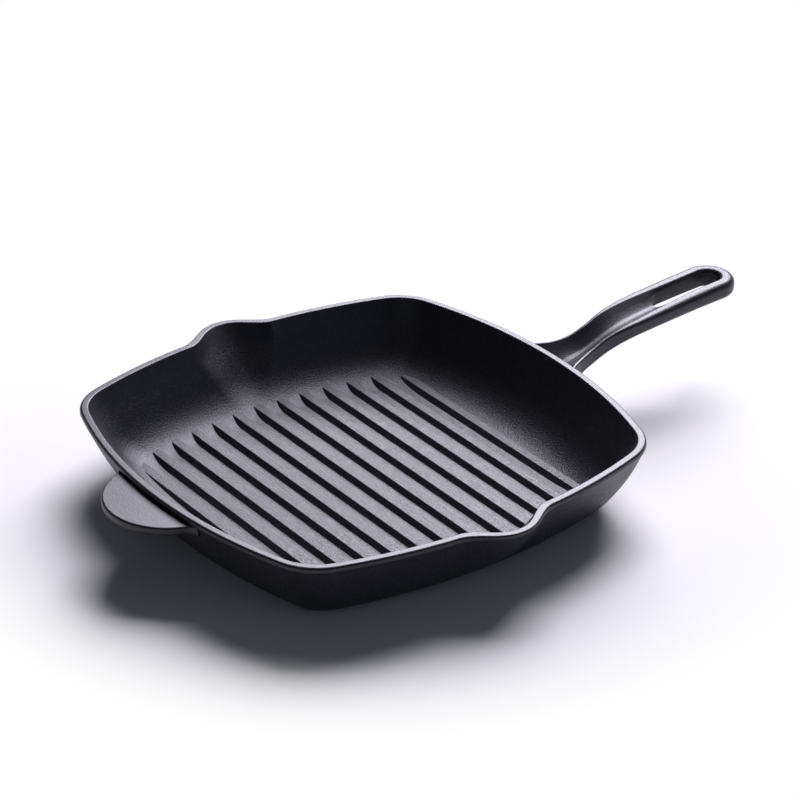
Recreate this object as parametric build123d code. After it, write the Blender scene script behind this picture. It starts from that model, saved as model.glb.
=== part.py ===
from build123d import *
import math
import os

# Square cast-iron grill pan with a long channelled handle, a helper tab and two pouring lips.
# The origin is at the middle of the flat foot face, +X runs along the long handle, +Z is up.
# The real pan is one casting. It is parted here along its own features, which meet face to face.

# Pan body, seen from above
rim_half_width = 131.0
side_bow_radius = 302.0
rim_corner_radius = 32.0
foot_corner_radius = 18.0
rim_width = 4.4
rim_edge_radius = 0.9
rim_edge_point_count = 2

# Pan body, seen from the side
pan_height = 42.0
floor_thickness = 4.6
rim_depth = 3.5
lip_overhang = 0.8
wall_inset_at_base = 17.4
wall_belly = 1.5
base_edge_radius = 21.0
base_edge_start_angle = 10.0
base_edge_end_angle = 56.0
base_edge_section_count = 5
wall_section_count = 4

# Cooking well
well_flare_angle = 29.5
well_fillet_radius = 28.0
well_start_angle = 8.0
well_fillet_section_count = 5
well_rim_corner_radius = 28.0
well_floor_corner_radius = 26.0
well_floor_bow_radius = 205.0

# Pouring lips on the two sides beside the handle
spout_reach = 12.2
spout_half_width = 30.0
spout_fade_height = 5.0
spout_fullness_share = 1.15
spout_point_shares = (0.5, 0.0, -0.5)
spout_channel_width_share = 0.9

# Raised searing ribs, which run from lip to lip
rib_count = 13
rib_side_gap = 0.2
rib_top_width = 5.0
rib_height = 2.8
rib_draft_angle = 40.0
rib_edge_chamfer = 0.6

# Helper tab opposite the handle
tab_reach = 24.0
tab_round_radius = 36.0
tab_thickness = 4.6
tab_root_radius = 7.0
tab_edge_chamfer = 1.1

# Long handle: distances run from the rim, heights from the rim top
handle_reach = 124.6
handle_end_rise = 16.6
handle_end_half_width = 15.4
handle_thickness = 9.4
handle_upper_radius = 3.8
handle_under_radius = 3.5
handle_edge_point_count = 3
rail_width = 5.9
# distance, rise, half width, thickness and rail width along the handle, as shares of the sizes above
handle_form_shares = (
    (-0.080, -0.050, 1.80, 1.45, 0.36),
    (0.000, -0.042, 1.22, 1.35, 0.36),
    (0.072, -0.019, 0.92, 1.10, 0.34),
    (0.152, 0.099, 0.755, 1.08, 0.34),
    (0.233, 0.309, 0.725, 1.07, 0.38),
    (0.313, 0.505, 0.825, 1.02, 0.50),
    (0.393, 0.625, 0.925, 0.96, 0.68),
    (0.513, 0.752, 0.985, 0.965, 0.88),
    (0.715, 0.906, 1.00, 1.01, 1.00),
    (0.8764, 1.000, 1.00, 1.06, 1.00),
)
handle_section_count = 16
channel_depth = 5.0
# across and down the dished channel, as shares of its half width and depth
channel_form_shares = ((1.0, 0.0), (0.66, 0.56), (0.22, 1.0))
neck_length = 34.0

# Hanging slot in the loop at the end of the handle, measured at its narrower lower side
slot_width = 12.8
slot_length = 44.4
slot_draft_angle = 16.0
loop_lead_length = 4.2

# How far a trimming body runs past what it trims
overrun = 20.0

# Sizes worked out from those above
wall_top = pan_height - rim_depth
base_start, base_end = math.radians(base_edge_start_angle), math.radians(base_edge_end_angle)
wall_bottom = base_edge_radius * (math.cos(base_start) - math.cos(base_end))
well_start, well_end = math.radians(well_start_angle), math.radians(90 - well_flare_angle)
well_turn_height = floor_thickness + well_fillet_radius * (math.cos(well_start) - math.cos(well_end))
well_turn_inset = rim_width + (pan_height - well_turn_height) * math.tan(math.radians(well_flare_angle))
well_fillet_run = well_fillet_radius * (math.sin(well_end) - math.sin(well_start))
well_floor_half_width = rim_half_width - well_turn_inset - well_fillet_run
rib_foot_half_width = rib_top_width / 2 + rib_height * math.tan(math.radians(rib_draft_angle))
rib_pitch = 2 * (well_floor_half_width - rib_foot_half_width - rib_side_gap) / (rib_count - 1)


def mix(first, last, share):
    return first + (last - first) * share


def pan_outline(level, half, bow, corner, reach, spout_half):
    """Closed plan outline at one height: four bowed sides, round corners, a pouring lip on two sides."""
    offset = bow - half
    centre = (math.sqrt(2 * (bow - corner) ** 2 - offset ** 2) - offset) / 2
    turn = math.atan2(centre, centre + offset)
    far, near = bow * math.cos(turn) - offset, bow * math.sin(turn)
    diagonal = centre + corner * math.sqrt(0.5)

    def side(x):
        return math.sqrt(bow ** 2 - x ** 2) - offset

    def lip(share):
        swell = (1 + math.cos(math.pi * abs(share) ** spout_fullness_share)) / 2
        return (spout_half * share, side(spout_half * share) + reach * swell, level)

    def bowed(start, end):
        middle = (start + end) / 2
        return ThreePointArc((start, side(start), level), (middle, side(middle), level), (end, side(end), level))

    ends = [(x, side(x), level) for x in (spout_half, -spout_half)]
    tangents = [(-side(x) - offset, x) for x in (spout_half, -spout_half)]
    half_way_round = [
        ThreePointArc((far, -near, level), (half, 0, level), (far, near, level)),
        ThreePointArc((far, near, level), (diagonal, diagonal, level), (near, far, level)),
        bowed(near, spout_half),
        Spline(ends[0], *[lip(share) for share in spout_point_shares], ends[1], tangents=tangents),
        bowed(-spout_half, -near),
        ThreePointArc((-near, far, level), (-diagonal, diagonal, level), (-far, near, level)),
    ]
    return Wire(half_way_round + [Rot(0, 0, 180) * edge for edge in half_way_round])


def lip_reach(level):
    return spout_reach * (level - spout_fade_height) / (pan_height - spout_fade_height)


def outer_section(level, inset):
    """Outer outline at one height, drawn in from the rim by inset."""
    corner = mix(rim_corner_radius, foot_corner_radius, (pan_height - level) / pan_height)
    return pan_outline(level, rim_half_width - inset, side_bow_radius, corner,
                       max(lip_reach(level), 0), spout_half_width)


def well_section(level, inset):
    """Outline of the cooking well at one height."""
    share = (pan_height - level) / (pan_height - floor_thickness)
    bow = mix(side_bow_radius - rim_width, well_floor_bow_radius, share)
    corner = mix(well_rim_corner_radius, well_floor_corner_radius, share)
    return pan_outline(level, rim_half_width - inset, bow, corner,
                       max(lip_reach(level), 0), spout_half_width * spout_channel_width_share)


def fillet_angles(start, end, count):
    return [mix(start, end, index / (count - 1)) for index in range(count)]


def rounded_edge(radius, start, count):
    """Points of a rounded upper edge, as distances from its centre: outwards and up."""
    angles = fillet_angles(math.radians(start), math.radians(90), count)
    return [(radius * math.cos(angle), radius * math.sin(angle)) for angle in angles]


def base_blank():
    """Rounded underside, from the flat foot up to where the wall starts."""
    sections = [
        outer_section(base_edge_radius * (math.cos(base_start) - math.cos(angle)),
                      wall_inset_at_base + base_edge_radius * (math.sin(base_end) - math.sin(angle)))
        for angle in fillet_angles(base_start, base_end, base_edge_section_count)
    ]
    return Solid.make_loft(sections, ruled=True)


def wall_inset(level):
    """How far the wall is drawn in from the rim at one height: a straight flare with a slight belly."""
    share = (level - wall_bottom) / (wall_top - wall_bottom)
    return mix(wall_inset_at_base, lip_overhang, share) - 4 * wall_belly * share * (1 - share)


def wall_blank():
    """Flared wall, from the base to under the rim."""
    steps = range(wall_section_count)
    levels = [mix(wall_bottom, wall_top, step / (wall_section_count - 1)) for step in steps]
    return Solid.make_loft([outer_section(level, wall_inset(level)) for level in levels], ruled=True)


def rim_blank():
    """Upright band of the rim, which stands proud of the wall and is rounded along its outer top edge."""
    sections = [outer_section(wall_top, 0)]
    for out, up in rounded_edge(rim_edge_radius, 0, rim_edge_point_count):
        sections.append(outer_section(pan_height - rim_edge_radius + up, rim_edge_radius - out))
    return Solid.make_loft(sections, ruled=True)


def well_blank():
    """The space inside the pan: a fillet rising from the floor, a flared wall and a rounded inner rim edge."""
    sections = [
        well_section(floor_thickness + well_fillet_radius * (math.cos(well_start) - math.cos(angle)),
                     well_turn_inset + well_fillet_radius * (math.sin(well_end) - math.sin(angle)))
        for angle in fillet_angles(well_start, well_end, well_fillet_section_count)
    ]
    land_inset = rim_width - rim_edge_radius * math.tan(math.radians(90 - well_flare_angle) / 2)
    for out, up in rounded_edge(rim_edge_radius, well_flare_angle, rim_edge_point_count):
        sections.append(well_section(pan_height - rim_edge_radius + up, land_inset + out))
    return Solid.make_loft(sections, ruled=True)


def slab(start, end):
    """Trimming body between two distances along the handle, wider and higher than the pan."""
    span = 4 * rim_half_width
    return Pos((start + end) / 2, 0, 0) * Box(end - start, span, span)


def make_ribs(well):
    """Drafted bars with bevelled tops, trimmed to the well so that they run out in its fillet."""
    top = floor_thickness + rib_height
    ribs = []
    for index in range(rib_count):
        x = (index - (rib_count - 1) / 2) * rib_pitch
        foot = [(x + side, 0, floor_thickness) for side in (-rib_foot_half_width, rib_foot_half_width)]
        crest = [(x + side, 0, top) for side in (rib_top_width / 2, -rib_top_width / 2)]
        profile = Polyline(*foot, *crest, close=True)
        bar = extrude(Face(Wire(profile.edges())), amount=rim_half_width, dir=(0, 1, 0), both=True)
        top_edges = bar.faces().sort_by(Axis.Z)[-1].edges().filter_by(Axis.Y)
        ribs.append(chamfer(top_edges, rib_edge_chamfer) & well)
    return ribs


def make_tab(body):
    """Half-moon tab just under the rim, with round roots and bevelled edges, trimmed to the pan."""
    under = wall_top - tab_thickness
    side_centre = side_bow_radius - rim_half_width + wall_inset(under) + lip_overhang
    moon_centre = tab_round_radius - tab_reach - rim_half_width
    near_side = (Pos(side_centre, 0) * Circle(side_bow_radius)) & (
        Pos(moon_centre, 0) * Rectangle(2 * tab_round_radius, 4 * tab_round_radius))
    plan = near_side + Pos(moon_centre, 0) * Circle(tab_round_radius)
    roots = plan.vertices().filter_by(lambda vertex: abs(vertex.Y) < 1.5 * tab_round_radius)
    plan = fillet(roots, tab_root_radius)
    plate = extrude(Pos(0, 0, under) * plan, amount=tab_thickness)
    tip = plate.faces().sort_by(Axis.X)[0]
    tip_edges = [edge for edge in tip.edges() if abs((edge % 0.5).Z) < 0.5]
    return chamfer(tip_edges, tab_edge_chamfer) - body


def slope_at(rows, index, column):
    """Slope of one column of a table against its first, from the rows on both sides."""
    before, after = rows[max(index - 1, 0)], rows[min(index + 1, len(rows) - 1)]
    return (after[column] - before[column]) / (after[0] - before[0])


def form_at(distance_share):
    """Rise, half width, thickness and rail width shares of the handle at one distance, on smooth curves."""
    rows = handle_form_shares
    index = max(i for i, row in enumerate(rows[:-1]) if row[0] <= distance_share)
    first, last = rows[index], rows[index + 1]
    run = last[0] - first[0]
    t = (distance_share - first[0]) / run
    return [
        first[column] * (1 + 2 * t) * (1 - t) ** 2 + last[column] * t ** 2 * (3 - 2 * t)
        + run * t * (1 - t) * (slope_at(rows, index, column) * (1 - t) - slope_at(rows, index + 1, column) * t)
        for column in range(1, len(first))
    ]


def handle_stations():
    """Distance, top height, half width, thickness and rail width at even steps along the handle."""
    first, last = handle_form_shares[0][0], handle_form_shares[-1][0]
    stations = []
    for index in range(handle_section_count):
        share = mix(first, last, index / (handle_section_count - 1))
        rise, half, thickness, rail = form_at(share)
        stations.append((rim_half_width + share * handle_reach, pan_height + rise * handle_end_rise,
                         half * handle_end_half_width, thickness * handle_thickness, rail * rail_width))
    return stations


def handle_section(station):
    """Half of the handle's cross-section as points from its top middle, rounded above and below."""
    x, top, half, thickness, rail = station
    upper, under = handle_upper_radius, handle_under_radius
    bottom, count = top - thickness, handle_edge_point_count
    above = [(half - upper + out, top - upper + up) for out, up in reversed(rounded_edge(upper, 0, count))]
    below = [(half - under + out, bottom + under - up) for out, up in rounded_edge(under, 0, count)]
    points = [(0, top)] + above + below + [(0, bottom)]
    return [(x, y, z) for y, z in points]


def channel_section(station):
    """Half of the channel's cross-section as points from above its middle, down its side to its floor."""
    x, top, half, thickness, rail = station
    reach = half - rail
    dish = [(reach * across, top - channel_depth * down) for across, down in channel_form_shares]
    points = [(0, top + overrun), (reach, top + overrun)] + dish + [(0, top - channel_depth)]
    return [(x, y, z) for y, z in points]


def lofted_with_round_end(section_at):
    """Lofts the sections at the handle's stations and adds half a turn of the last one."""
    halves = [section_at(station) for station in handle_stations()]
    wires = [
        Wire.make_polygon(points + [(x, -y, z) for x, y, z in points[-2:0:-1]]) for points in halves
    ]
    turn_axis = Axis((halves[-1][0][0], 0, 0), (0, 0, 1))
    half_face = Face(Wire.make_polygon(halves[-1]))
    return Solid.make_loft(wires, ruled=True) + revolve(half_face, turn_axis, revolution_arc=-180)


def slot_start():
    """Where the hanging slot starts: its far end is centred where the handle's round end is."""
    turn_x = handle_stations()[-1][0]
    return turn_x + slot_width / 2 - slot_length


def slot_blank():
    """The hanging slot's space, which widens upwards on all sides."""
    lower_side = pan_height + handle_end_rise - handle_thickness
    outlines = []
    for height in (-handle_thickness / 2, 3 * handle_thickness / 2):
        growth = 2 * height * math.tan(math.radians(slot_draft_angle))
        slot = SlotOverall(slot_length + growth, slot_width + growth)
        place = Pos(slot_start() + slot_length / 2, 0, lower_side + height)
        outlines.append(place * slot.face().outer_wire())
    return Solid.make_loft(outlines, ruled=True)


def make_handle(body):
    """Long handle: lofted S-curve with a round end, a dished channel and a hanging slot."""
    bar = lofted_with_round_end(handle_section)
    channel = lofted_with_round_end(channel_section)
    return bar - channel - slot_blank() - body


def part_handle(handle):
    """Parts the handle into its neck, its grip and the loop that holds the slot."""
    neck_end = rim_half_width + neck_length
    grip_end = slot_start() - loop_lead_length
    tip = rim_half_width + handle_reach
    return {
        "handle_neck": handle & slab(0, neck_end),
        "handle_grip": handle & slab(neck_end, grip_end),
        "hanging_loop": handle & slab(grip_end, tip + overrun),
    }


def part_ring(ring, label):
    """Parts a ring round the well, beside its pouring lips, into the handle's side and the tab's side."""
    far = 2 * rim_half_width
    return {
        "handle_side_" + label: ring & slab(spout_half_width, far),
        "helper_side_" + label: ring & slab(-far, -spout_half_width),
    }


def build_parts():
    base, wall, rim = base_blank(), wall_blank(), rim_blank()
    body = Part() + wall + rim
    well = well_blank()
    parts = {"base_plate": base - well}
    parts.update(part_ring(wall - well, "wall"))
    parts.update(part_ring(rim - well, "rim"))
    parts["pouring_lips"] = (body - well) & slab(-spout_half_width, spout_half_width)
    for index, rib in enumerate(make_ribs(well)):
        parts[f"sear_rib_{index + 1:02d}"] = rib
    parts["helper_tab"] = make_tab(body)
    parts.update(part_handle(make_handle(body)))
    return parts


def main():
    os.makedirs("parts", exist_ok=True)
    for name, part in build_parts().items():
        export_step(part, os.path.join("parts", name + ".step"))


main()
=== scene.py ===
import math

import bmesh
import bpy
from mathutils import Matrix, Vector


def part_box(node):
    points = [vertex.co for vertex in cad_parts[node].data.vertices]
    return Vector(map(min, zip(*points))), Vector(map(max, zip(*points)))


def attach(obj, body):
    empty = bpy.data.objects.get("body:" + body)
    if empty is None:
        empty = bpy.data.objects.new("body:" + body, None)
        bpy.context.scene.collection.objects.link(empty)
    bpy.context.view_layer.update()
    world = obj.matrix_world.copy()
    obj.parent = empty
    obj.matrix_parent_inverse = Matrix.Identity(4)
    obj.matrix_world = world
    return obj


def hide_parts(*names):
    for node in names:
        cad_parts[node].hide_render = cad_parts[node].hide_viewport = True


# Square cast-iron grill pan in black satin enamel. Lengths are in millimetres until a mesh is made.

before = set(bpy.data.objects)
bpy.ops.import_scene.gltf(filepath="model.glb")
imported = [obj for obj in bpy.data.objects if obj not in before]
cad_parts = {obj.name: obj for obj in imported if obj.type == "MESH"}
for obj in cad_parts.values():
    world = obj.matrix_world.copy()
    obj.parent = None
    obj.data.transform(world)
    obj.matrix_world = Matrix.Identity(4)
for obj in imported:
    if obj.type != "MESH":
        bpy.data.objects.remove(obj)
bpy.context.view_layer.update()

MM = 0.001


def node_box(name):
    """Lowest and highest corner of a CAD node, in millimetres."""
    low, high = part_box(name)
    return low / MM, high / MM


rim_low, rim_high = node_box("handle_side_rim")
lips_low, lips_high = node_box("pouring_lips")
base_low, base_high = node_box("base_plate")
first_rib_low, first_rib_high = node_box("sear_rib_01")
tab_low, tab_high = node_box("helper_tab")
loop_low, loop_high = node_box("hanging_loop")

# Pan body, seen from above
rim_half_width = rim_high.x
side_bow_radius = 302.0
rim_corner_radius = 32.0
foot_corner_radius = 18.0
spout_reach = lips_high.y - rim_half_width + 0.3
spout_half_width = 30.0
spout_foot_half_width = 17.0
spout_fade_height = 5.0
spout_fullness_share = 1.15

# Pan body, seen from the side
pan_height = rim_high.z
rim_underside = rim_low.z
floor_top = first_rib_low.z
wall_bottom = base_high.z
rim_width = 4.4
rim_outer_radius = 1.5
rim_inner_radius = 0.9
lip_overhang = 0.8
wall_inset_at_base = 17.4
wall_belly = 1.5
base_end_angle = 56.0

# Cooking well
well_flare_angle = 29.5
well_fillet_height = 15.4
well_rim_corner_radius = 28.0
well_floor_corner_radius = 20.0
well_floor_bow_radius = 275.0
well_spout_half_width = 27.0
well_spout_foot_half_width = 11.0

# Searing ribs
rib_count = 13
rib_top_width = 5.0
rib_draft_angle = 40.0
rib_edge_radius = 0.8
rib_foot_radius = 1.0
rib_foot_spread = 1.8
rib_sink = 1.0
rib_anchor_length = 1.5

# Helper tab
tab_round_radius = 36.0
tab_root_radius = 7.0
tab_edge_radius = 1.3
tab_anchor_depth = 2.2

# Long handle: distances run from the rim, heights from the rim top
handle_reach = 124.6
handle_end_rise = loop_high.z - pan_height
handle_end_half_width = 15.4
handle_thickness = 9.4
handle_outer_radius = 4.0
handle_inner_radius = 2.0
handle_under_radius = 3.5
rail_width = 6.8
# distance, rise, half width, thickness and rail width along the handle, as shares of the sizes above
handle_form_shares = (
    (-0.080, -0.050, 1.80, 1.45, 0.28),
    (0.000, -0.042, 1.22, 1.35, 0.28),
    (0.072, -0.019, 0.92, 1.10, 0.265),
    (0.152, 0.099, 0.755, 1.08, 0.265),
    (0.233, 0.309, 0.725, 1.07, 0.30),
    (0.313, 0.505, 0.825, 1.02, 0.40),
    (0.393, 0.625, 0.925, 0.96, 0.56),
    (0.513, 0.752, 0.985, 0.965, 0.78),
    (0.715, 0.906, 1.00, 1.01, 1.00),
    (0.8764, 1.000, 1.00, 1.06, 1.00),
)
handle_anchor_depth = 2.2
channel_depth = 5.4
channel_flat_share = 0.12
channel_power = 1.25
channel_edge_depth = 2.6
slot_width = 12.8
slot_length = 44.4
slot_draft_angle = 6.0
weld_distance = 0.002

# Steps of the meshes
side_steps, corner_steps, lip_steps = 22, 20, 30
arc_steps = 7
wall_steps, flare_steps, fillet_steps = 14, 12, 16


def mix(first, last, share):
    return first + (last - first) * share


def steps(count, first=0.0, last=1.0):
    """Evenly spaced values, ends included."""
    return [mix(first, last, index / count) for index in range(count + 1)]


def rounded_path(corners, radii, count=arc_steps):
    """An open path of 2-D points whose inner corners are rounded."""
    corners = [Vector(corner) for corner in corners]
    points = [corners[0]]
    for before, corner, after, radius in zip(corners, corners[1:], corners[2:], radii):
        back, on = (before - corner).normalized(), (after - corner).normalized()
        half = math.acos(max(-1.0, min(1.0, back.dot(on)))) / 2
        centre = corner + (back + on).normalized() * radius / math.sin(half)
        run = radius / math.tan(half)
        start, end = corner + back * run - centre, corner + on * run - centre
        turn = math.pi - 2 * half
        for share in steps(count):
            arm = (start * math.sin((1 - share) * turn) + end * math.sin(share * turn)) / math.sin(turn)
            points.append(centre + arm)
    points.append(corners[-1])
    return points


def make_piece(name, points, faces, material):
    """Mesh piece from points in millimetres, shaded smooth."""
    mesh = bpy.data.meshes.new(name)
    mesh.from_pydata([Vector(point) * MM for point in points], [], faces)
    mesh.validate()
    mesh.polygons.foreach_set("use_smooth", [True] * len(mesh.polygons))
    mesh.materials.append(material)
    mesh.set_sharp_from_angle(angle=math.radians(50))
    piece = bpy.data.objects.new(name, mesh)
    bpy.context.scene.collection.objects.link(piece)
    shading = piece.modifiers.new("even_shading", "WEIGHTED_NORMAL")
    shading.keep_sharp = True
    return piece


def bridge(rows, row_length, closed_rows, closed_columns=False):
    """Quads between rows of points that all have the same length."""
    faces = []
    for row in range(rows if closed_columns else rows - 1):
        below, above = row * row_length, (row + 1) % rows * row_length
        for index in range(row_length if closed_rows else row_length - 1):
            following = (index + 1) % row_length
            faces.append((below + index, below + following, above + following, above + index))
    return faces


def plan_outline(half, bow, corner, reach, spout_half):
    """Closed plan outline: four bowed sides, round corners and a pouring lip on two sides."""
    offset = bow - half
    centre = (math.sqrt(2 * (bow - corner) ** 2 - offset ** 2) - offset) / 2
    turn = math.atan2(centre, centre + offset)
    near = bow * math.sin(turn)

    def side(distance):
        return math.sqrt(bow ** 2 - distance ** 2) - offset

    def lip(share):
        swell = (1 + math.cos(math.pi * share ** spout_fullness_share)) / 2
        return spout_half * share, side(spout_half * share) + reach * swell

    quarter = [(side(y), y) for y in steps(side_steps, 0.0, near)[:-1]]
    quarter += [(centre + corner * math.cos(angle), centre + corner * math.sin(angle))
                for angle in steps(corner_steps, turn, math.pi / 2 - turn)[:-1]]
    quarter += [(x, side(x)) for x in steps(side_steps, near, spout_half)[:-1]]
    quarter += [lip(share) for share in steps(lip_steps, 1.0, 0.0)]
    half_way = quarter + [(-x, y) for x, y in reversed(quarter[1:-1])]
    return half_way + [(-x, -y) for x, y in half_way]


def lip_reach(level):
    share = (level - spout_fade_height) / (pan_height - spout_fade_height)
    return spout_reach * max(share, 0.0)


def outer_ring(level, inset):
    """Outer outline at one height, drawn in from the rim by inset."""
    share = level / pan_height
    points = plan_outline(rim_half_width - inset, side_bow_radius,
                          mix(foot_corner_radius, rim_corner_radius, share), lip_reach(level),
                          mix(spout_foot_half_width, spout_half_width, min(1.0, 1.6 * share)))
    return [(x, y, level) for x, y in points]


def well_ring(level, inset):
    """Outline of the cooking well at one height."""
    share = (level - floor_top) / (pan_height - floor_top)
    points = plan_outline(rim_half_width - inset,
                          mix(well_floor_bow_radius, side_bow_radius - rim_width, share),
                          mix(well_floor_corner_radius, well_rim_corner_radius, share), lip_reach(level),
                          mix(well_spout_foot_half_width, well_spout_half_width, min(1.0, 1.25 * share)))
    return [(x, y, level) for x, y in points]


def wall_inset(level):
    """How far the wall is drawn in from the rim: a straight flare with a slight belly."""
    share = (level - wall_bottom) / (rim_underside - wall_bottom)
    return mix(wall_inset_at_base, lip_overhang, share) - 4 * wall_belly * share * (1 - share)


def outer_profile():
    """Height and inset of the outside, from the flat foot up to the land on top of the rim."""
    end = math.radians(base_end_angle)
    radius = wall_bottom / (1 - math.cos(end))
    profile = [(radius * (1 - math.cos(angle)), wall_inset_at_base + radius * (math.sin(end) - math.sin(angle)))
               for angle in steps(fillet_steps, 0.0, end)]
    profile += [(level, wall_inset(level)) for level in steps(wall_steps, wall_bottom, rim_underside)[1:]]
    profile += [(rim_underside + lip_overhang / 2, lip_overhang / 3), (rim_underside + lip_overhang, 0.0)]
    for angle in steps(arc_steps, 0.0, math.pi / 2):
        profile.append((pan_height - rim_outer_radius * (1 - math.sin(angle)),
                        rim_outer_radius * (1 - math.cos(angle))))
    return profile


def well_profile():
    """Height and inset of the inside, from the land on top of the rim down to the floor."""
    flare = math.radians(well_flare_angle)
    land = rim_width - rim_inner_radius * math.tan((math.pi / 2 - flare) / 2)
    profile = [(pan_height - rim_inner_radius * (1 - math.sin(angle)), land + rim_inner_radius * math.cos(angle))
               for angle in steps(arc_steps, math.pi / 2, flare)]
    turn_level = floor_top + well_fillet_height
    turn_inset = rim_width + (pan_height - turn_level) * math.tan(flare)
    top_level, top_inset = profile[-1]
    profile += [(mix(top_level, turn_level, share), mix(top_inset, turn_inset, share))
                for share in steps(flare_steps)[1:-1]]
    end = math.pi / 2 - flare
    radius = well_fillet_height / (1 - math.cos(end))
    profile += [(floor_top + radius * (1 - math.cos(angle)), turn_inset + radius * (math.sin(end) - math.sin(angle)))
                for angle in steps(fillet_steps, end, 0.0)]
    return profile


def make_bowl(material):
    """Base, walls, rim and pouring lips as one seamless casting."""
    rings = [outer_ring(level, inset) for level, inset in outer_profile()]
    rings += [well_ring(level, inset) for level, inset in well_profile()]
    size = len(rings[0])
    points = [point for ring in rings for point in ring]
    faces = bridge(len(rings), size, True)
    foot_centre, floor_centre = len(points), len(points) + 1
    points += [(0, 0, 0), (0, 0, floor_top)]
    last = (len(rings) - 1) * size
    for index in range(size):
        following = (index + 1) % size
        faces.append((foot_centre, following, index))
        faces.append((floor_centre, last + index, last + following))
    return make_piece("bowl", points, faces, material)


def well_reach(x, level):
    """How far the cooking well goes from the middle towards a lip at one place and height."""
    pairs = zip(well_profile(), well_profile()[1:])
    (top, first), (bottom, last) = next(pair for pair in pairs if pair[0][0] >= level > pair[1][0])
    ring = well_ring(level, mix(first, last, (top - level) / (top - bottom)))
    sides = [(a, b) for a, b in zip(ring, ring[1:] + ring[:1]) if a[0] != b[0] and (a[0] - x) * (b[0] - x) <= 0]
    return max(mix(a[1], b[1], (x - a[0]) / (b[0] - a[0])) for a, b in sides)


def make_rib(index, material):
    """One searing rib with rounded edges and a curved foot, which runs out in the well's fillet."""
    low, high = node_box(f"sear_rib_{index:02d}")
    middle = (low.x + high.x) / 2
    top_half = rib_top_width / 2
    foot_half = top_half + (high.z - low.z) * math.tan(math.radians(rib_draft_angle))
    spread = foot_half + rib_foot_spread
    profile = rounded_path(
        [(-spread, low.z - MM), (-foot_half, low.z), (-top_half, high.z),
         (top_half, high.z), (foot_half, low.z), (spread, low.z - MM)],
        [rib_foot_radius, rib_edge_radius, rib_edge_radius, rib_foot_radius])
    profile += [Vector((spread, low.z - rib_sink)), Vector((-spread, low.z - rib_sink))]
    reach = well_reach(middle, high.z) + rib_anchor_length
    rows = steps(24, -reach, reach)
    points = [(middle + point.x, y, point.y) for y in rows for point in profile]
    size = len(profile)
    faces = bridge(len(rows), size, True)
    faces += [tuple(range(size)), tuple(reversed(range(len(points) - size, len(points))))]
    rib = make_piece(f"searing_rib_{index:02d}", points, faces, material)
    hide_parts(f"sear_rib_{index:02d}")
    return rib


def wall_outside(level, y):
    """How far out the wall's outer face is at one height and distance from the middle."""
    inset = wall_inset(min(level, rim_underside))
    return math.sqrt(side_bow_radius ** 2 - y ** 2) - (side_bow_radius - rim_half_width) - inset


def tab_plan(draw_in):
    """Plan points of the tab's edge from root to root, drawn in by a distance."""
    moon_centre = tab_low.x + tab_round_radius
    moon = tab_round_radius - draw_in
    fillet = tab_root_radius + draw_in
    wall_radius = side_bow_radius - lip_overhang
    wall_centre = side_bow_radius - rim_half_width
    apart = wall_centre - moon_centre
    from_wall, from_moon = wall_radius + fillet, moon + fillet
    along = (apart ** 2 + from_wall ** 2 - from_moon ** 2) / (2 * apart)
    root = Vector((wall_centre - along, math.sqrt(from_wall ** 2 - along ** 2)))
    to_wall = (Vector((wall_centre, 0)) - root).normalized()
    to_moon = (Vector((moon_centre, 0)) - root).normalized()
    turn = to_wall.angle(to_moon)
    quarter = [root + fillet * (to_wall * math.sin((1 - share) * turn) + to_moon * math.sin(share * turn))
               / math.sin(turn) for share in steps(arc_steps * 2)]
    start = math.atan2(quarter[-1].y, quarter[-1].x - moon_centre)
    quarter += [Vector((moon_centre + moon * math.cos(angle), moon * math.sin(angle)))
                for angle in steps(side_steps, start, math.pi)[1:]]
    return quarter + [Vector((point.x, -point.y)) for point in reversed(quarter[:-1])]


def make_tab(material):
    """Half-moon helper tab with round edges, sunk a little into the wall."""
    low, high = tab_low.z, tab_high.z
    edge = [(tab_edge_radius - tab_edge_radius * math.sin(angle), high - tab_edge_radius
             + tab_edge_radius * math.cos(angle)) for angle in steps(arc_steps, 0.0, math.pi / 2)]
    edge += [(draw_in, low + high - level) for draw_in, level in reversed(edge)]
    loops = [[(point.x, point.y, level) for point in tab_plan(draw_in)] for draw_in, level in edge]
    shares = [abs(point[1]) for point in loops[0]]

    def anchor(level):
        return [(-wall_outside(level, y) + tab_anchor_depth, math.copysign(y, point[1]), level)
                for y, point in zip(shares, loops[0])]

    loops = [anchor(high)] + loops + [anchor(low)]
    size = len(loops[0])
    points = [point for loop in loops for point in loop]
    faces = bridge(len(loops), size, False, True)
    faces += [tuple(row * size for row in range(len(loops))),
              tuple(row * size + size - 1 for row in reversed(range(len(loops))))]
    return make_piece("tab", points, faces, material)


def slope_at(rows, index, column):
    """Slope of one column of a table against its first, from the rows on both sides."""
    before, after = rows[max(index - 1, 0)], rows[min(index + 1, len(rows) - 1)]
    return (after[column] - before[column]) / (after[0] - before[0])


def form_at(distance_share):
    """Rise, half width, thickness and rail width shares of the handle at one distance, on smooth curves."""
    rows = handle_form_shares
    index = max([i for i, row in enumerate(rows[:-1]) if row[0] <= distance_share], default=0)
    first, last = rows[index], rows[index + 1]
    run = last[0] - first[0]
    t = (distance_share - first[0]) / run
    return [
        first[column] * (1 + 2 * t) * (1 - t) ** 2 + last[column] * t ** 2 * (3 - 2 * t)
        + run * t * (1 - t) * (slope_at(rows, index, column) * (1 - t) - slope_at(rows, index + 1, column) * t)
        for column in range(1, len(first))
    ]


handle_turn = rim_half_width + handle_form_shares[-1][0] * handle_reach
slot_start = handle_turn + slot_width / 2 - slot_length


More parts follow.
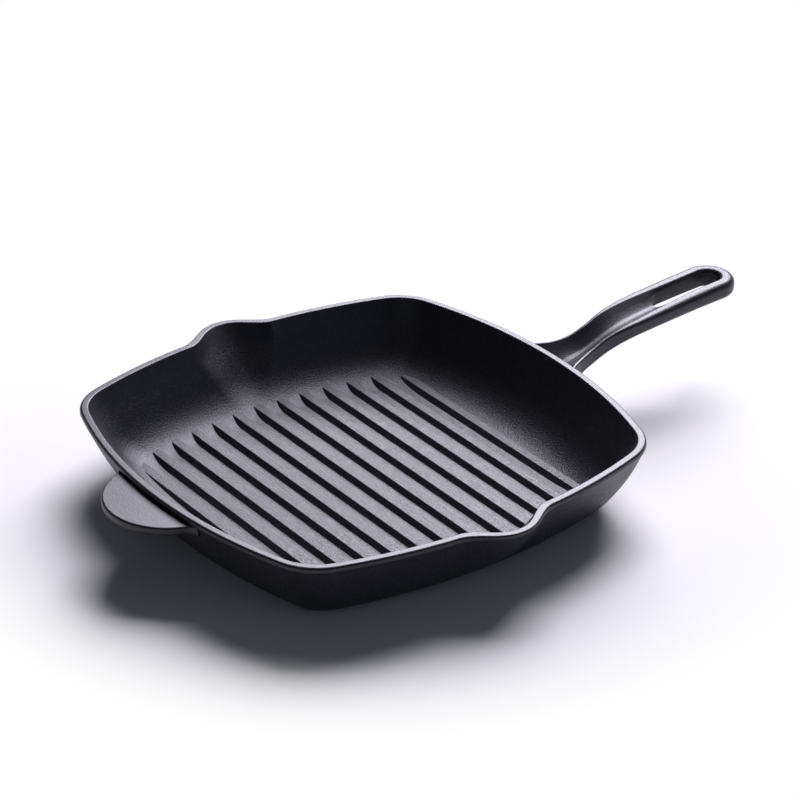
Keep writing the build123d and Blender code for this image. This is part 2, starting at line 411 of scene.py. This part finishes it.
def slot_half_at(x, height):
    """Half width of the slot at one place and height over its lower edge: drafted, with a round start."""
    growth = height * math.tan(math.radians(slot_draft_angle))
    half = slot_width / 2 + growth
    short = slot_start + slot_width / 2 - x
    return math.sqrt(max(half ** 2 - max(short, 0.0) ** 2, 0.0))


def crossing(low, high, is_above):
    """Where a rising test turns true between two values."""
    for _ in range(24):
        middle = (low + high) / 2
        low, high = (low, middle) if is_above(middle) else (middle, high)
    return high


def handle_half_section(x):
    """Half of the handle's section as points (y, z): up the slot, along the channel, over the rail and under."""
    rise, half, thickness, rail = form_at((x - rim_half_width) / handle_reach)
    top = pan_height + rise * handle_end_rise
    half *= handle_end_half_width
    bottom = top - thickness * handle_thickness
    reach = half - rail * rail_width
    depth = channel_depth * thickness ** 1.5

    def channel(y):
        side = (min(y / reach, 1.0) - channel_flat_share) / (1 - channel_flat_share)
        return top - depth * (1 - max(side, 0.0) ** channel_power)

    def wall(z):
        return slot_half_at(x, z - bottom)

    edge = top - channel_edge_depth
    meeting = crossing(bottom, edge, lambda z: z >= channel(wall(z)))
    opening = crossing(bottom, meeting, lambda z: wall(z) > 0)
    if wall(meeting) > 0:
        foot = bottom if wall(bottom) > 0 else opening
        rising = [(wall(z), z) for z in steps(10, foot, meeting)]
    else:
        rising = [(0.0, top - depth)] * 11
    rail_foot = crossing(0.0, reach, lambda y: channel(y) >= edge)
    dish = [(y, max(channel(y), rising[-1][1])) for y in steps(18, rising[-1][0], max(rail_foot, rising[-1][0]))]
    land = half - reach
    over = rounded_path([dish[-1], (reach, top), (half, top), (half, (top + bottom) / 2)],
                        [min(handle_inner_radius, 0.35 * land), min(handle_outer_radius, 0.6 * land)])
    under = rounded_path([(half, (top + bottom) / 2), (half, bottom), (wall(bottom), bottom)],
                         [handle_under_radius])
    return rising + dish[1:] + [tuple(point) for point in over[1:] + under[1:]]


def handle_places():
    """Distances of the handle's sections, close together where the slot starts."""
    anchor = rim_half_width + handle_form_shares[0][0] * handle_reach
    widest = slot_half_at(handle_turn, handle_thickness)
    middle = slot_start + slot_width / 2
    round_end = [middle - widest * math.cos(angle) for angle in steps(30, 0.0, math.pi / 2)]
    return steps(60, anchor, round_end[0])[:-1] + round_end + steps(26, round_end[-1], handle_turn)[1:]


def make_handle(material):
    """Long channelled handle with a hanging slot, swept from the wall round its end and back."""
    rows = []
    for x in handle_places():
        rows.append([(x, y, z) for y, z in handle_half_section(x)])
    turn_section = handle_half_section(handle_turn)
    turned = [[(handle_turn + y * math.sin(angle), y * math.cos(angle), z) for y, z in turn_section]
              for angle in steps(48, 0.0, math.pi)[1:-1]]
    mirrored = [[(x, -y, z) for x, y, z in row] for row in reversed(rows)]
    rows = rows + turned + mirrored

    def held(point):
        x, y, z = point
        return max(x, wall_outside(z, y) - handle_anchor_depth), y, z

    points = [held(point) for row in rows for point in row]
    size = len(rows[0])
    faces = [face for face in bridge(len(rows), size, True)
             if any(abs(points[corner][1]) > weld_distance for corner in face)]
    last = (len(rows) - 1) * size
    for index in range(size - 1):
        faces.append((index, index + 1, last + index + 1, last + index))
    handle = make_piece("long_handle", points, faces, material)
    weld(handle, weld_distance * MM)
    return handle


def weld(piece, distance):
    """Joins points that lie together and makes all faces look outwards."""
    mesh = bmesh.new()
    mesh.from_mesh(piece.data)
    bmesh.ops.remove_doubles(mesh, verts=mesh.verts, dist=distance)
    bmesh.ops.dissolve_degenerate(mesh, edges=mesh.edges, dist=distance)
    bmesh.ops.recalc_face_normals(mesh, faces=mesh.faces)
    mesh.to_mesh(piece.data)
    mesh.free()


# Enamelled iron

def enamelled_iron():
    """Black satin enamel over sand-cast grain, which is pebbly in the well and finer on the rim and handle."""
    material = bpy.data.materials.new("enamelled_iron")
    material.use_nodes = True
    nodes, links = material.node_tree.nodes, material.node_tree.links
    shader = nodes["Principled BSDF"]
    place = nodes.new("ShaderNodeTexCoord")

    def noise(scale, detail, roughness=0.5):
        texture = nodes.new("ShaderNodeTexNoise")
        texture.inputs["Scale"].default_value = scale
        texture.inputs["Detail"].default_value = detail
        texture.inputs["Roughness"].default_value = roughness
        links.new(place.outputs["Object"], texture.inputs["Vector"])
        return texture.outputs["Fac"]

    def spread(value, low, high, to_low, to_high):
        fit = nodes.new("ShaderNodeMapRange")
        for name, number in zip(("From Min", "From Max", "To Min", "To Max"), (low, high, to_low, to_high)):
            fit.inputs[name].default_value = number
        links.new(value, fit.inputs["Value"])
        return fit.outputs["Result"]

    def blend(share, first, last):
        mixer = nodes.new("ShaderNodeMix")
        mixer.data_type = "FLOAT"
        for index, value in zip((0, 2, 3), (share, first, last)):
            links.new(value, mixer.inputs[index])
        return mixer.outputs[0]

    tone = nodes.new("ShaderNodeValToRGB")
    tone.color_ramp.elements[0].position, tone.color_ramp.elements[0].color = 0.3, (0.009, 0.009, 0.013, 1)
    tone.color_ramp.elements[1].position, tone.color_ramp.elements[1].color = 0.7, (0.023, 0.023, 0.031, 1)
    links.new(noise(700.0, 3.0), tone.inputs["Fac"])
    links.new(tone.outputs["Color"], shader.inputs["Base Color"])

    shader.inputs["Specular Tint"].default_value = (0.92, 0.91, 1.0, 1)

    height = nodes.new("ShaderNodeSeparateXYZ")
    links.new(place.outputs["Object"], height.inputs["Vector"])
    smooth = spread(height.outputs["Z"], 0.030, 0.038, 0.0, 1.0)
    mottle = noise(760.0, 2.0)
    links.new(blend(smooth, spread(mottle, 0.3, 0.7, 0.32, 0.53), spread(mottle, 0.3, 0.7, 0.35, 0.42)),
              shader.inputs["Roughness"])

    grain = nodes.new("ShaderNodeBump")
    grain.inputs["Distance"].default_value = 0.00030
    links.new(spread(height.outputs["Z"], 0.030, 0.038, 1.0, 0.35), grain.inputs["Strength"])
    links.new(noise(1100.0, 3.0, 0.6), grain.inputs["Height"])
    links.new(grain.outputs["Normal"], shader.inputs["Normal"])
    return material


# Studio

def matrix_looking(eye, right, up):
    """Matrix of an object at eye whose X and Y run along right and up."""
    right, up = Vector(right).normalized(), Vector(up).normalized()
    back = right.cross(up)
    turn = Matrix((right, up, back)).transposed()
    return Matrix.Translation(Vector(eye) * MM) @ turn.to_4x4()


def make_camera():
    """The photograph's view, worked out from the rim's outline and the parallel ribs."""
    data = bpy.data.cameras.new("camera")
    data.lens = 150.03
    data.sensor_width = 36.0
    data.clip_start, data.clip_end = 0.05, 60.0
    camera = bpy.data.objects.new("camera", data)
    camera.matrix_world = matrix_looking((-884.540, -1278.544, 895.844),
                                         (0.81292, -0.58235, -0.00513), (0.28082, 0.38426, 0.87948))
    bpy.context.scene.collection.objects.link(camera)
    bpy.context.scene.camera = camera


def direction(azimuth, elevation):
    azimuth, elevation = math.radians(azimuth), math.radians(elevation)
    return Vector((math.cos(azimuth) * math.cos(elevation), math.sin(azimuth) * math.cos(elevation),
                   math.sin(elevation)))


def make_softbox(name, azimuth, elevation, distance, width, height, watts, colour=(1, 1, 1)):
    """Large soft lamp that faces the pan from one direction; distances in metres."""
    data = bpy.data.lights.new(name, "AREA")
    data.shape = "RECTANGLE"
    data.size, data.size_y = width, height
    data.energy = watts
    data.color = colour
    lamp = bpy.data.objects.new(name, data)
    way = direction(azimuth, elevation)
    lamp.location = way * distance
    lamp.rotation_euler = way.to_track_quat("Z", "Y").to_euler()
    bpy.context.scene.collection.objects.link(lamp)


def ray_share(nodes, links):
    """1 for the rays that show the white background: camera, glossy and transmission."""
    path = nodes.new("ShaderNodeLightPath")
    total = path.outputs["Is Camera Ray"]
    for name in ("Is Glossy Ray", "Is Transmission Ray"):
        larger = nodes.new("ShaderNodeMath")
        larger.operation = "MAXIMUM"
        links.new(total, larger.inputs[0])
        links.new(path.outputs[name], larger.inputs[1])
        total = larger.outputs["Value"]
    return total


def make_world():
    """Dark room: the floor alone is the background, and the lamps give the light."""
    world = bpy.data.worlds.new("studio")
    world.use_nodes = True
    background = world.node_tree.nodes["Background"]
    background.inputs["Color"].default_value = (0.74, 0.79, 1.0, 1)
    background.inputs["Strength"].default_value = 0.058
    bpy.context.scene.world = world


def floor_paper():
    """White paper that takes the pan's shadow and is plain white away from it."""
    material = bpy.data.materials.new("floor_paper")
    material.use_nodes = True
    nodes, links = material.node_tree.nodes, material.node_tree.links
    shader = nodes["Principled BSDF"]
    shader.inputs["Base Color"].default_value = (0.78, 0.78, 0.79, 1)
    shader.inputs["Roughness"].default_value = 1.0
    shader.inputs["Specular IOR Level"].default_value = 0.0
    white = nodes.new("ShaderNodeEmission")
    place = nodes.new("ShaderNodeTexCoord")
    length = nodes.new("ShaderNodeVectorMath")
    length.operation = "DISTANCE"
    length.inputs[1].default_value = (0.018, 0.012, 0.0)
    links.new(place.outputs["Object"], length.inputs[0])
    far = nodes.new("ShaderNodeMapRange")
    far.interpolation_type = "SMOOTHSTEP"
    far.inputs["From Min"].default_value = 0.185
    far.inputs["From Max"].default_value = 0.262
    links.new(length.outputs["Value"], far.inputs["Value"])
    shown = nodes.new("ShaderNodeMath")
    shown.operation = "MULTIPLY"
    links.new(far.outputs["Result"], shown.inputs[0])
    links.new(ray_share(nodes, links), shown.inputs[1])
    join = nodes.new("ShaderNodeMixShader")
    links.new(shown.outputs["Value"], join.inputs[0])
    links.new(shader.outputs[0], join.inputs[1])
    links.new(white.outputs[0], join.inputs[2])
    links.new(join.outputs[0], nodes["Material Output"].inputs["Surface"])
    return material


def make_floor():
    half = 20000.0
    corners = [(-half, -half, -0.02), (half, -half, -0.02), (half, half, -0.02), (-half, half, -0.02)]
    floor = make_piece("floor", corners, [(0, 1, 2, 3)], floor_paper())


def make_pan():
    iron = enamelled_iron()
    bowl = make_bowl(iron)
    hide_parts("base_plate", "handle_side_wall", "helper_side_wall", "handle_side_rim",
                "helper_side_rim", "pouring_lips")
    tab = make_tab(iron)
    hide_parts("helper_tab")
    handle = make_handle(iron)
    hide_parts("handle_neck", "handle_grip", "hanging_loop")
    pieces = [bowl, tab, handle] + [make_rib(index, iron) for index in range(1, rib_count + 1)]
    for piece in pieces:
        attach(piece, "root")


make_pan()
make_floor()
make_world()
make_camera()
make_softbox("key_softbox", 40.0, 41.0, 1.8, 1.2, 1.27, 71.2, (0.94, 0.91, 1.0))
make_softbox("room_fill", -150.0, 28.0, 1.8, 1.4, 1.2, 1.0, (0.78, 0.84, 1.0))
make_softbox("front_fill", -62.0, 12.0, 1.8, 0.85, 0.85, 2.0, (0.68, 0.78, 1.0))
bpy.context.scene.view_settings.view_transform = "Standard"
